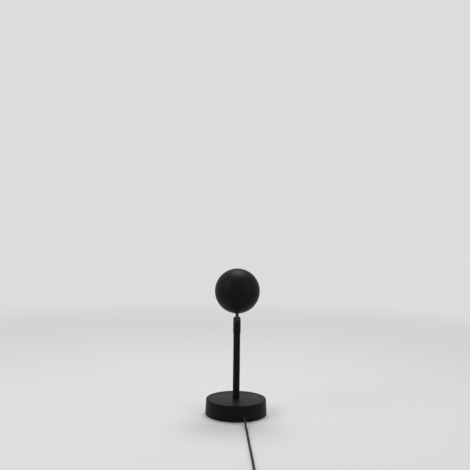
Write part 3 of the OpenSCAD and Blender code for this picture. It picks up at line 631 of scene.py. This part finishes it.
def glass(name, radius, bands, roughness=0.02):
    """Clear or dyed glass; bands are its colours from the beam's axis out to the radius."""
    material, tree, skin, place = new_material(name)
    distance = tree.nodes.new("ShaderNodeGroup")
    distance.node_tree = BEAM_DISTANCE
    distance.inputs["Radius"].default_value = radius * MM
    tree.links.new(place, distance.inputs["Vector"])
    ramp = tree.nodes.new("ShaderNodeValToRGB")
    stops = ramp.color_ramp.elements
    while len(stops) < len(bands):
        stops.new(0.5)
    for stop, (position, colour) in zip(stops, bands):
        stop.position = position
        stop.color = (*colour, 1)
    tree.links.new(distance.outputs["Distance"], ramp.inputs["Fac"])
    tree.links.new(ramp.outputs["Color"], skin.inputs["Base Color"])
    set_plain(skin, {"roughness": roughness, "ior": 1.5, "transmission_weight": 1.0})
    return material


def make_materials():
    """Every finish, by its name in the part's record; the coat of the body is a deep satin black."""
    metal = {"metallic": 1.0}
    finishes = [
        surface("satin_black", (0.006, 0.0052, 0.0052), (0.009, 0.0078, 0.0076), grain=1400.0,
                smooth=0.4, rough=0.52, bump=0.1, depth=0.03, specular_ior_level=0.07),
        surface("gunmetal", (0.035, 0.035, 0.04), (0.05, 0.05, 0.056), grain=2500.0, patches=120.0,
                smooth=0.28, rough=0.4, bump=0.1, depth=0.02, **metal),
        surface("dark_screw", (0.05, 0.05, 0.054), (0.075, 0.074, 0.078), smooth=0.25, **metal),
        surface("zinc_steel", (0.55, 0.55, 0.57), (0.62, 0.61, 0.6), grain=2200.0, patches=150.0,
                smooth=0.22, rough=0.38, **metal),
        surface("plug_steel", (0.52, 0.52, 0.53), (0.58, 0.57, 0.56), grain=2600.0, patches=200.0,
                smooth=0.16, rough=0.28, **metal),
        surface("brass", (0.75, 0.54, 0.2), (0.66, 0.45, 0.16), patches=200.0,
                smooth=0.2, rough=0.35, **metal),
        surface("iron", (0.11, 0.1, 0.095), (0.16, 0.14, 0.13), grain=700.0, patches=90.0,
                smooth=0.55, rough=0.8, bump=0.5, depth=0.15, metallic=0.6),
        surface("aluminium", (0.7, 0.7, 0.72), (0.64, 0.64, 0.66), grain=1800.0,
                smooth=0.28, rough=0.42, **metal),
        surface("black_anodised", (0.015, 0.015, 0.016), (0.022, 0.022, 0.024), grain=2400.0,
                smooth=0.42, rough=0.55),
        surface("foot_rubber", (0.008, 0.0078, 0.0078), (0.013, 0.0125, 0.0122), grain=900.0,
                smooth=0.62, rough=0.8, bump=0.2, depth=0.04, specular_ior_level=0.12),
        surface("cord_pvc", (0.006, 0.0055, 0.0055), (0.01, 0.009, 0.009), grain=1800.0, patches=60.0,
                smooth=0.5, rough=0.66, bump=0.15, depth=0.03, specular_ior_level=0.2),
        surface("case_plastic", (0.013, 0.013, 0.0135), (0.018, 0.018, 0.0185), grain=2600.0,
                smooth=0.44, rough=0.58, bump=0.4, depth=0.04, specular_ior_level=0.4),
        surface("rocker_plastic", (0.009, 0.009, 0.01), (0.012, 0.012, 0.013),
                smooth=0.16, rough=0.26, bump=0.03),
        surface("nylon", (0.78, 0.77, 0.71), (0.73, 0.72, 0.66), grain=1200.0, smooth=0.42, rough=0.55),
        surface("wire_black", (0.012, 0.012, 0.012), (0.02, 0.02, 0.02), smooth=0.4, rough=0.5),
        surface("wire_red", (0.28, 0.015, 0.01), (0.22, 0.012, 0.009), smooth=0.4, rough=0.5),
        surface("board_white", (0.8, 0.8, 0.78), (0.74, 0.74, 0.72), smooth=0.2, rough=0.3),
        surface("led_yellow", (0.85, 0.68, 0.12), (0.8, 0.6, 0.08), smooth=0.15, rough=0.25,
                emission_color=(1.0, 0.62, 0.22, 1.0), emission_strength=1.5),
        glass("clear_glass", CONDENSER_R, [(0.0, (0.95, 0.98, 0.98)), (1.0, (0.92, 0.97, 0.96))]),
        glass("orange_glass", LENS_R, [
            (0.0, (1.0, 0.72, 0.22)), (0.45, (1.0, 0.45, 0.08)),
            (0.85, (0.95, 0.2, 0.03)), (1.0, (0.75, 0.08, 0.02)),
        ]),
        glass("amber_glass", LENS_R, [
            (0.0, (1.0, 0.7, 0.36)), (0.8, (1.0, 0.52, 0.18)), (1.0, (0.9, 0.32, 0.1)),
        ]),
    ]  # fmt: skip
    # The solids' own materials hold the plain names already, so Blender adds a number to these
    return {finish.name.split(".")[0]: finish for finish in finishes}


MATERIALS = make_materials()


# ---- Pieces ----


def dress(piece, finish, body, *nodes):
    """Gives the piece its finish, sets it on its body and puts it in place of the CAD nodes."""
    piece.data.materials.clear()
    piece.data.materials.append(MATERIALS[finish])
    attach(piece, body)
    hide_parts(*nodes)
    return piece


def machined(node, finish, body, edge, segments=2):
    """A CAD node's form with its edges rounded."""
    piece = merged_copy(node + "_piece", node)
    soften_edges(piece, edge, segments)
    return dress(piece, finish, body, node)


def turned(node, finish, body, outline, place=Matrix.Identity(4)):
    """A piece of revolution in place of a CAD node."""
    return dress(lathe(node + "_piece", outline, place), finish, body, node)


# ---- The lead ----


def in_metres(points):
    """Points in millimetres as vectors in metres."""
    return [Vector(p) * MM for p in points]


def exit_point(u, z):
    """A point so far from the lamp's axis towards the cord hole, and so high."""
    a = math.radians(EXIT_ANGLE)
    return (u * math.sin(a), -u * math.cos(a), z)


def lead_line():
    """From the end of the lead inside the base, over the table and into the switch."""
    start = [exit_point(u, EXIT_Z) for u in (STUB_IN, STUB_IN + 7, GROMMET_OUT, GROMMET_OUT + 3)]
    return spline_through(in_metres([*start, *LEAD_ROUTE]))


def run_line():
    """From inside the switch down to the coil."""
    x, y, z = RUN_START
    return spline_through(in_metres([(x, y - go, z - drop * RUN_DROP) for go, drop in RUN_STEPS]))


def tail_line():
    """From the top of the coil down to the plug."""
    x, y, z = TAIL_START
    return spline_through(in_metres([(x, y + go, z - drop * TAIL_DROP) for go, drop in TAIL_STEPS]))


def coil_point(turn):
    """Where the coil is after so many turns."""
    layer_turns = COIL_TURNS / COIL_LAYERS
    part = turn / layer_turns
    inward = 1 - abs(1 - part % 2)
    r = COIL_OUT_R - inward * layer_turns * COIL_PITCH
    rise = 0
    # Each climb takes half a turn, round the place where the next layer starts
    for layer in range(1, COIL_LAYERS):
        x = min(1, max(0, 2 * (turn - layer * layer_turns) + 0.5))
        rise += x * x * (3 - 2 * x)
    a = -2 * math.pi * turn
    x, y = COIL_MID
    return Vector((x + r * math.cos(a), y + r * math.sin(a), COIL_Z + COIL_PITCH * rise)) * MM


def coil_line(per_turn=48):
    """All the turns of the coil."""
    return [coil_point(i / per_turn) for i in range(int(COIL_TURNS * per_turn) + 1)]


def make_cords():
    """The lead up to the switch, and the lead from the switch through the coil to the plug."""
    line = lead_line()
    lead = dress(tube("lead_to_switch", line, CORD_R * MM), "cord_pvc", "stand", "cord_stub", "cord_lead")
    line = [*run_line(), *coil_line(), *tail_line()]
    coiled = tube("lead_to_plug", line, CORD_R * MM)
    dress(coiled, "cord_pvc", "stand", "cord_run", "cord_coil", "cord_tail")


def make_grommet():
    """A rubber grommet: a flange on each side of the cover's wall, the outer one with a sloping rim."""
    inner = GROMMET_IN - GROMMET_FLANGE_T
    face = GROMMET_OUT - GROMMET_FLANGE_T
    bore = CORD_R + GROMMET_SLACK
    neck = CORD_HOLE_R - GROMMET_SLACK
    flange = GROMMET_FLANGE_R
    slope_w = 0.9
    slope_h = 0.35
    turned("cord_grommet", "foot_rubber", "stand", rounded([
        (bore, inner), (flange, inner, 0.3), (flange, GROMMET_IN, 0.2),
        (neck, GROMMET_IN), (neck, face),
        (flange, face, 0.15), (flange, GROMMET_OUT - slope_h, 0.3),
        (flange - slope_w, GROMMET_OUT, 0.4),
        (bore, GROMMET_OUT, 0.2),
    ]), AT_EXIT)  # fmt: skip


def make_lead_fittings():
    """The stop ring on the lead inside the base, and the tie round the coil."""
    machined("cord_stop", "nylon", "stand", 0.1)
    machined("coil_tie", "cord_pvc", "stand", 0.2)


# ---- Screws ----

# A pan head: its shoulder's height and rounding as shares of its height, its flat top as a share of its
# radius
SHOULDER_H = 0.55
SHOULDER_ROUND = 0.35
FLAT_TOP_R = 0.45

# A screw's tip, as a share of the shank's radius
TIP_R = 0.5

# The cross recess: its reach and half the width of its arms, as shares of the head's radius
RECESS_REACH = 0.62
RECESS_HALF_W = 0.17

# Its cutter goes from this far above the head, in millimetres, down to this share of the head's height,
# and narrows from the wide to the narrow share of the arms' size
CUTTER_OVER = 0.3
CUTTER_FLOOR = 0.35
CUTTER_WIDE = 1.1
CUTTER_NARROW = 0.55


def screw_shape(head_r, head_h, shank_r, shank_l, pitch, sunk=False):
    """A screw with a cross recess: its head stands up from z = 0 and its threaded shank hangs down."""
    core = threaded(shank_r, -shank_l + shank_r, 0.0, pitch, THREAD_DEPTH)
    if sunk:
        head = rounded([(shank_r, 0), (head_r, head_h, 0.08), (0, head_h)])
    else:
        shoulder = (head_r, head_h * SHOULDER_H, head_h * SHOULDER_ROUND)
        head = rounded([(head_r, 0, 0.1), shoulder, (head_r * FLAT_TOP_R, head_h), (0, head_h)])
    tip = [(0, -shank_l), (shank_r * TIP_R, -shank_l)]
    screw = lathe("screw", [*tip, *core, (shank_r - THREAD_DEPTH, 0), *head], segments=40)
    return cut(screw, cross_cutter(head_r * RECESS_REACH, head_r * RECESS_HALF_W, head_h))


def cross_cutter(reach, half_w, head_h):
    """The tapered cross of a screw's recess, open at the head's top."""
    quarter = [(reach, -half_w), (reach, half_w), (half_w, half_w)]
    turns = [Matrix.Rotation(math.radians(90 * i), 2) for i in range(4)]
    outline = [turn @ Vector(point) for turn in turns for point in quarter]
    form = bmesh.new()
    ends = ((head_h * CUTTER_FLOOR, CUTTER_NARROW), (head_h + CUTTER_OVER, CUTTER_WIDE))
    low, high = [
        [form.verts.new(Vector((p.x * share, p.y * share, z)) * MM) for p in outline]
        for z, share in ends
    ]
    for k in range(len(outline)):
        n = (k + 1) % len(outline)
        form.faces.new((low[k], low[n], high[n], high[k]))
    form.faces.new(low)
    form.faces.new(high)
    return add_piece("cross", mesh_from(form, "cross"))


def make_screws():
    """The four sets of screws, each of them set out on a ring; the plate's and the switch's look down."""
    upside_down = Matrix.Rotation(math.pi, 4, "X")
    plate_top = shifted(0, 0, PAD_T + PLATE_T) @ upside_down
    sink_face = ON_BEAM @ shifted(0, 0, SINK_FRONT)
    board_face = ON_BEAM @ shifted(0, 0, SINK_FRONT + BOARD_T)
    switch_seat = shifted(*SWITCH_MID.xy, SWITCH_SCREW_Z) @ upside_down
    switch_ring = SWITCH_SCREW_AT.length
    switch_angle = -math.degrees(math.atan2(SWITCH_SCREW_AT.y, SWITCH_SCREW_AT.x))
    for node, body, sizes, sunk, count, ring_r, start, place in (
        ("plate_screws", "stand", PLATE_SCREW, True, 3, PLATE_SCREW_RING, 30, plate_top),
        ("heat_sink_screws", "head", HEAT_SINK_SCREW, False, 3, POST_RING_R, 30, sink_face),
        ("board_screws", "head", BOARD_SCREW, False, 2, BOARD_SCREW_X, 0, board_face),
        ("switch_screws", "stand", SWITCH_SCREW, False, 2, switch_ring, switch_angle, switch_seat),
    ):  # fmt: skip
        shape = screw_shape(*sizes, sunk)
        piece = on_a_ring(node + "_piece", shape, count, ring_r, start, "zinc_steel", place)
        dress(piece, "zinc_steel", body, node)


# ---- Base ----


def make_base():
    """The cover with its cord hole, and the soft pad under it."""
    top_r = BASE_R - BASE_DRAFT
    outline = rounded([
        (STUD_HOLE_R, BASE_H), (top_r, BASE_H, RIM_ROUND), (BASE_R, RIM_Z, 0.3),
        (BASE_R - COVER_T, RIM_Z, 0.3), (top_r - COVER_T, BASE_H - TOP_T), (STUD_HOLE_R, BASE_H - TOP_T),
    ])  # fmt: skip
    cover = lathe("base_cover_piece", outline, segments=192)
    low, high = CORD_HOLE_CUT
    hole = [(0, low), (CORD_HOLE_R, low), (CORD_HOLE_R, high), (0, high)]
    cut(cover, lathe("cord_hole", hole, AT_EXIT, segments=48))
    dress(cover, "satin_black", "stand", "base_cover")
    pad = rounded([(0, 0), (PAD_R, 0, 0.4), (PAD_R, PAD_T, 0.3), (0, PAD_T)])
    turned("base_pad", "foot_rubber", "stand", pad)
    machined("base_weight", "iron", "stand", 0.3)
    machined("base_plate", "zinc_steel", "stand", 0.08)


# ---- Pole and hinge ----


def make_pole():
    """The pole on its nipple, and the tilt hinge on the pole."""
    turned("pole_tube", "satin_black", "stand", rounded([
        (POLE_R - POLE_WALL, BASE_H), (POLE_R, BASE_H, 0.12), (POLE_R, POLE_TOP_Z, 0.15),
        (POLE_R - POLE_WALL, POLE_TOP_Z),
    ]))  # fmt: skip
    low, high = corners_mm("pole_nipple")
    thread = threaded(NIPPLE_R, low.z, high.z, NIPPLE_PITCH, NIPPLE_THREAD_DEPTH)
    turned("pole_nipple", "zinc_steel", "stand", [
        (NIPPLE_BORE_R, low.z), *thread, (NIPPLE_R - NIPPLE_THREAD_DEPTH, high.z),
        (NIPPLE_BORE_R, high.z),
    ])  # fmt: skip
    machined("nipple_washer", "zinc_steel", "stand", 0.1)
    machined("nipple_nut", "zinc_steel", "stand", 0.25)
    machined("fork", "satin_black", "stand", 0.15)
    machined("pivot_screw", "dark_screw", "stand", 0.12)
    machined("friction_washers", "nylon", "stand", 0.05, 1)
    machined("head_tongue", "gunmetal", "head", 0.2)
    machined("tongue_nut", "zinc_steel", "head", 0.25)


def make_cores(node, body, across):
    """The lead's two cores, the one that lies further across in red and the other in black."""
    piece = merged_copy(node + "_piece", node, flatten=False)
    shade(piece.data, 70)
    dress(piece, "wire_red", body, node)
    piece.data.materials.append(MATERIALS["wire_black"])
    form = bmesh.new()
    form.from_mesh(piece.data)
    waiting = set(form.faces)
    cores = []
    while waiting:
        reached = [waiting.pop()]
        for face in reached:
            for near in {f for v in face.verts for f in v.link_faces} & waiting:
                waiting.remove(near)
                reached.append(near)
        cores.append(reached)
    cores.sort(key=lambda core: sum(f.calc_center_median().dot(across) for f in core) / len(core))
    for face in cores[0]:
        face.material_index = 1
    form.to_mesh(piece.data)
    form.free()


def make_core_bends():
    """The short stretch of each core across the tilt hinge, which isn't in the solids, drawn as a straight
    tube.
    """
    start, end = in_metres([CORES_IN_SLOT, CORES_IN_TONGUE])
    steps = 32
    for name, side, finish in (("black_core_bend", -1, "wire_black"), ("red_core_bend", 1, "wire_red")):
        beside = Vector((side * CORE_GAP, 0, 0)) * MM
        line = [start.lerp(end, i / steps) + beside for i in range(steps + 1)]
        bend = tube(name, line, CORE_R * MM)
        bend.data.materials.append(MATERIALS[finish])
        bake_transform(bend)


# ---- Head ----


def make_ball():
    """The ball is the CAD form on a finer net; the ring in its mouth carries the ball's curve on."""
    shell = refine_ball(merged_copy("head_shell_piece", "head_shell", flatten=False))
    dress(soften_edges(shell, 0.15), "satin_black", "head", "head_shell")
    seam_r = math.sqrt(BALL_R**2 - MOUTH**2) - SEAM
    low = math.degrees(math.asin((MOUTH + SEAM) / BALL_R))
    high = math.degrees(math.asin(RING_FRONT / BALL_R))
    curve = arc((0, 0), BALL_R, low, high, 8)
    lip_z = RING_FRONT - RING_LIP
    outline = rounded([
        (SKIRT_R, RING_BACK, 0.2), (SKIRT_R, MOUTH), (seam_r, MOUTH), (seam_r, MOUTH + SEAM, 0.05),
        *curve[:-1], (*curve[-1], 0.3), (RING_OPENING_R + RING_CHAMFER, RING_FRONT, 0.2),
        (RING_OPENING_R, RING_FRONT - RING_CHAMFER, 0.2), (RING_OPENING_R, lip_z, 0.1),
        (RING_BORE_R, lip_z), (RING_BORE_R, RING_BACK),
    ])  # fmt: skip
    turned("lens_ring", "satin_black", "head", outline, ON_BEAM)


def lens_outline(radius, back, tip, curve, edge_round=0.2):
    """A lens with a flat back and a curved front."""
    centre = tip - curve
    half = math.degrees(math.asin(radius / curve))
    dome = arc((0, centre), curve, 90 - half, 90, 24)
    edge = rounded([(0, back), (radius, back, edge_round), (*dome[0], edge_round), dome[1]])
    return [*edge[:-1], *dome[1:-1], (0, tip)]


def make_optics():
    """From the light source to the front: condenser, colour filter, front lens and its gasket."""
    front = lens_outline(LENS_R, LENS_BACK, LENS_TIP, LENS_CURVE)
    turned("front_lens", "amber_glass", "head", front, ON_BEAM)
    condenser = lens_outline(CONDENSER_R, CONDENSER_BACK, CONDENSER_TIP, CONDENSER_CURVE)
    turned("condenser_lens", "clear_glass", "head", condenser, ON_BEAM)
    low, high = corners_mm("filter_disc")
    turned("filter_disc", "orange_glass", "head", rounded([
        (0, low.y), (high.x, low.y, 0.12), (high.x, high.y, 0.12), (0, high.y),
    ]), ON_BEAM)  # fmt: skip
    low, high = corners_mm("lens_gasket")
    middle = (high.x - GASKET_SECTION_R, (low.y + high.y) / 2)
    turned("lens_gasket", "foot_rubber", "head", arc(middle, GASKET_SECTION_R, 0, 337.5, 15), ON_BEAM)
    machined("optic_barrel", "black_anodised", "head", 0.12)
    machined("led_board", "board_white", "head", 0.1)
    machined("led_chip", "led_yellow", "head", 0.1)
    machined("heat_sink", "aluminium", "head", 0.15)


# ---- Switch and plug ----


def make_switch():
    """The switch in the lead: two halves of a case, the rocker and its contacts."""
    machined("switch_lower_case", "case_plastic", "stand", 0.25)
    machined("switch_upper_case", "case_plastic", "stand", 0.25)
    machined("switch_rocker", "rocker_plastic", "rocker", 0.3, 3)
    machined("switch_contacts", "brass", "stand", 0.05, 1)


def make_plug():
    """The USB plug: the grip, and the shell with its insulator and contacts."""
    machined("plug_grip", "case_plastic", "stand", 0.3, 3)
    machined("plug_shell", "plug_steel", "stand", 0.06, 1)
    machined("plug_insulator", "nylon", "stand", 0.1)
    machined("plug_contacts", "brass", "stand", 0.03, 1)


# ---- Floor and light ----

# How far out the floor starts to fade, and where it has become the backdrop, in metres
FADE_FROM = 0.35
FADE_TO = 1.6
BACKDROP = (0.72, 0.715, 0.71, 1)

# The floor in metres: half its width, and how far it lies under the lamp, so that the two don't coincide
FLOOR_HALF = 30
FLOOR_Z = -0.0002

# The softboxes in metres and watts: where each is, where it looks, its width and height, and its power
SOFTBOXES = (
    ("back", (0.05, 0.55, 1.7), (0, 0, 0.05), (1.0, 0.7), 21),
    ("left", (-1.1, -0.5, 1.0), (0, 0, 0.1), (0.8, 0.8), 8),
    ("right", (1.1, -0.7, 0.8), (0, 0, 0.1), (0.9, 0.9), 5),
)

# How bright the light from all round is
AMBIENT = 0.22


def seen_directly(tree):
    """1 for what the camera sees, also through glass and in a mirror, and 0 for the light that falls."""
    path = tree.nodes.new("ShaderNodeLightPath").outputs
    mirrored = calculate(tree, "MAXIMUM", path["Is Glossy Ray"], path["Is Transmission Ray"])
    return calculate(tree, "MAXIMUM", mirrored, path["Is Camera Ray"])


def make_floor_finish():
    """A pale floor that takes the shadow near the lamp and fades into the backdrop further out."""
    floor = surface("pale_floor", (0.66, 0.655, 0.65), (0.64, 0.635, 0.63), grain=300.0, patches=3.0,
                    smooth=0.6, rough=0.72, bump=0.02)  # fmt: skip
    tree = floor.node_tree
    away = tree.nodes.new("ShaderNodeVectorMath")
    away.operation = "LENGTH"
    tree.links.new(tree.nodes["Texture Coordinate"].outputs["Object"], away.inputs[0])
    fade = tree.nodes.new("ShaderNodeMapRange")
    fade.interpolation_type = "SMOOTHSTEP"
    fade.inputs["From Min"].default_value = FADE_FROM
    fade.inputs["From Max"].default_value = FADE_TO
    tree.links.new(away.outputs["Value"], fade.inputs["Value"])
    backdrop = tree.nodes.new("ShaderNodeEmission")
    backdrop.inputs["Color"].default_value = BACKDROP
    mix = tree.nodes.new("ShaderNodeMixShader")
    share = calculate(tree, "MULTIPLY", fade.outputs["Result"], seen_directly(tree))
    tree.links.new(share, mix.inputs["Fac"])
    tree.links.new(tree.nodes["Principled BSDF"].outputs[0], mix.inputs[1])
    tree.links.new(backdrop.outputs[0], mix.inputs[2])
    tree.links.new(mix.outputs[0], tree.nodes["Material Output"].inputs["Surface"])
    return floor


def add_floor():
    """A wide floor a hair's breadth under the lamp."""
    form = bmesh.new()
    bmesh.ops.create_grid(form, x_segments=1, y_segments=1, size=FLOOR_HALF)
    floor = add_piece("floor", mesh_from(form, "floor"))
    floor.location.z = FLOOR_Z
    floor.data.materials.append(make_floor_finish())


def add_softbox(name, place, aim, size, power):
    """A rectangular light that looks at a point."""
    light = bpy.data.lights.new(name, "AREA")
    light.shape = "RECTANGLE"
    light.size, light.size_y = size
    light.energy = power
    box = bpy.data.objects.new(name, light)
    box.location = place
    box.rotation_euler = (Vector(aim) - Vector(place)).to_track_quat("-Z", "Y").to_euler()
    scene.collection.objects.link(box)


def light_scene():
    """A little light from all round, a softbox high behind the lamp, and one on each side in front."""
    world = bpy.data.worlds.new("studio")
    world.use_nodes = True
    tree = world.node_tree
    ambient = tree.nodes["Background"]
    ambient.inputs["Color"].default_value = (1, 1, 1, 1)
    ambient.inputs["Strength"].default_value = AMBIENT
    seen = tree.nodes.new("ShaderNodeBackground")
    seen.inputs["Color"].default_value = BACKDROP
    pick = tree.nodes.new("ShaderNodeMixShader")
    tree.links.new(seen_directly(tree), pick.inputs[0])
    tree.links.new(ambient.outputs[0], pick.inputs[1])
    tree.links.new(seen.outputs[0], pick.inputs[2])
    tree.links.new(pick.outputs[0], tree.nodes["World Output"].inputs["Surface"])
    scene.world = world
    for softbox in SOFTBOXES:
        add_softbox(*softbox)


set_camera()
make_grommet()
make_switch()
make_plug()
make_screws()
make_lead_fittings()
make_cords()
make_base()
make_pole()
make_cores("pole_lead", "stand", Vector(exit_point(1, 0)).cross(Vector((0, 0, -1))))
make_cores("head_lead", "head", Vector((1, 0, 0)))
make_core_bends()
make_ball()
make_optics()
add_floor()
light_scene()
scene.view_settings.view_transform = "Standard"
